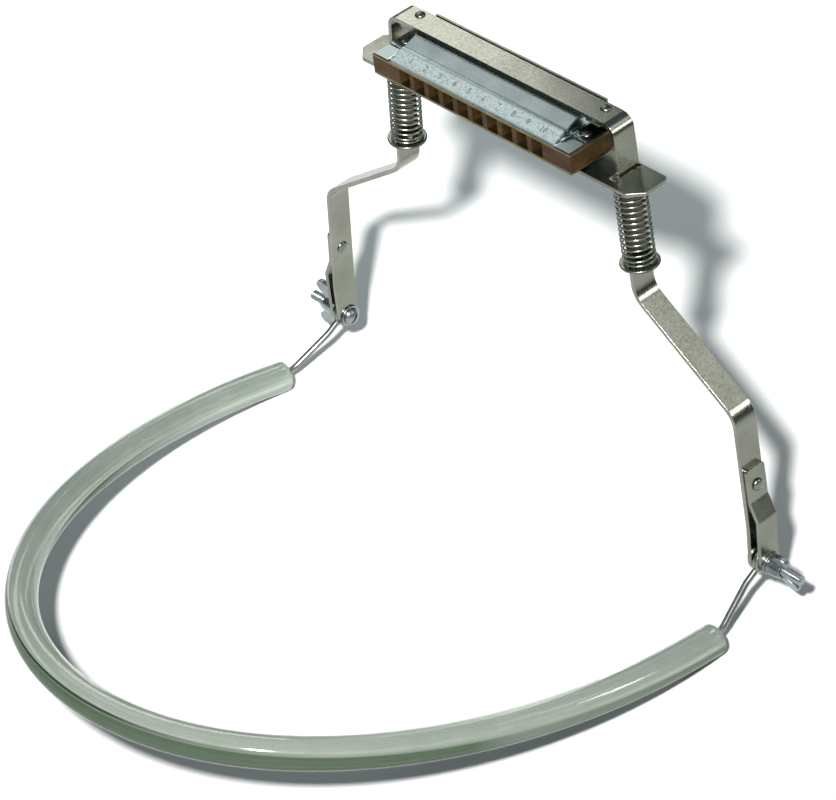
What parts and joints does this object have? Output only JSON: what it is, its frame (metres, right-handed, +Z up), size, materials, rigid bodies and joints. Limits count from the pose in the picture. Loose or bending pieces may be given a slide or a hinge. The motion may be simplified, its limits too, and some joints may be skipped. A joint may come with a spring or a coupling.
{
  "type": "harmonica neck holder",
  "caption": "Neck-worn harmonica rack: a wire yoke in a clear vinyl tube, a bent flat-steel frame tilting on wing-nut pivots, and a sprung clamp plate holding a diatonic harmonica.",
  "frame": {"origin": "centre of the bounding box at its base, the level of the lowest point of the neck tube", "axes": "+X along the harmonica towards its high notes, +Y from the neck loop towards the frame, +Z up the frame legs"},
  "size_m": [0.2664, 0.2388, 0.1902],
  "materials": {
    "nickel_strip": "dull nickel plate",
    "nickel_plate": "dull nickel plate",
    "spring_steel": "bright drawn wire",
    "zinc_hardware": "bright zinc plate",
    "rivet_steel": "dull nickel plate",
    "yoke_wire": "drawn nickel-plated wire",
    "clear_vinyl": "translucent grey-green vinyl",
    "comb_wood": "sealed brown hardwood",
    "reed_brass": "rolled brass",
    "cover_chrome": "polished plate"
  },
  "bodies": {
    "yoke": {"neck_wire": "yoke_wire", "neck_tube": "clear_vinyl"},
    "frame": {"frame_strip": "nickel_strip", "jaw_wall": "nickel_plate", "jaw_rivets": "rivet_steel", "spring_seats": "nickel_plate", "seat_pins": "rivet_steel", "left_fork_plate": "nickel_plate", "right_fork_plate": "nickel_plate", "fork_rivets": "rivet_steel", "left_pivot_bolt": "zinc_hardware", "right_pivot_bolt": "zinc_hardware", "head_washers": "zinc_hardware", "left_spring": "spring_steel", "right_spring": "spring_steel"},
    "clamp": {"clamp_plate": "nickel_plate"},
    "harmonica": {"comb": "comb_wood", "upper_reed_plate": "reed_brass", "lower_reed_plate": "reed_brass", "upper_reeds": "reed_brass", "lower_reeds": "reed_brass", "upper_cover": "cover_chrome", "lower_cover": "cover_chrome", "cover_pins": "rivet_steel"},
    "left_washer": {"left_nut_washer": "zinc_hardware"},
    "left_nut": {"left_wing_nut": "zinc_hardware"},
    "right_washer": {"right_nut_washer": "zinc_hardware"},
    "right_nut": {"right_wing_nut": "zinc_hardware"}
  },
  "joints": [
    {"name": "frame_tilt", "type": "hinge", "parent": "yoke", "child": "frame", "pos_m": [0, 0.11192, 0.02119], "axis": [1, 0, 0], "range_deg": [-75, 75]},
    {"name": "clamp_slide", "type": "slide", "parent": "frame", "child": "clamp", "axis": [0, 0, -1], "range_m": [0, 0.01], "stiffness_N_per_m": 500, "springref_m": -0.012, "deforming": ["left_spring", "right_spring"]},
    {"name": "harmonica_slide", "type": "slide", "parent": "frame", "child": "harmonica", "axis": [0, -1, 0], "range_m": [0, 0.06]},
    {"name": "left_nut_travel", "type": "slide", "parent": "frame", "child": "left_washer", "axis": [-1, 0, 0], "range_m": [0, 0.0014]},
    {"name": "left_nut_spin", "type": "hinge", "parent": "left_washer", "child": "left_nut", "pos_m": [-0.122, 0.11192, 0.02119], "axis": [-1, 0, 0], "range_deg": [0, 720]},
    {"name": "right_nut_travel", "type": "slide", "parent": "frame", "child": "right_washer", "axis": [1, 0, 0], "range_m": [0, 0.0014]},
    {"name": "right_nut_spin", "type": "hinge", "parent": "right_washer", "child": "right_nut", "pos_m": [0.122, 0.11192, 0.02119], "axis": [1, 0, 0], "range_deg": [0, 720]}
  ],
  "couplings": [
    {"joint": "left_nut_spin", "follows": "left_nut_travel", "rad_per_m": 8976},
    {"joint": "right_nut_spin", "follows": "right_nut_travel", "rad_per_m": 8976}
  ]
}
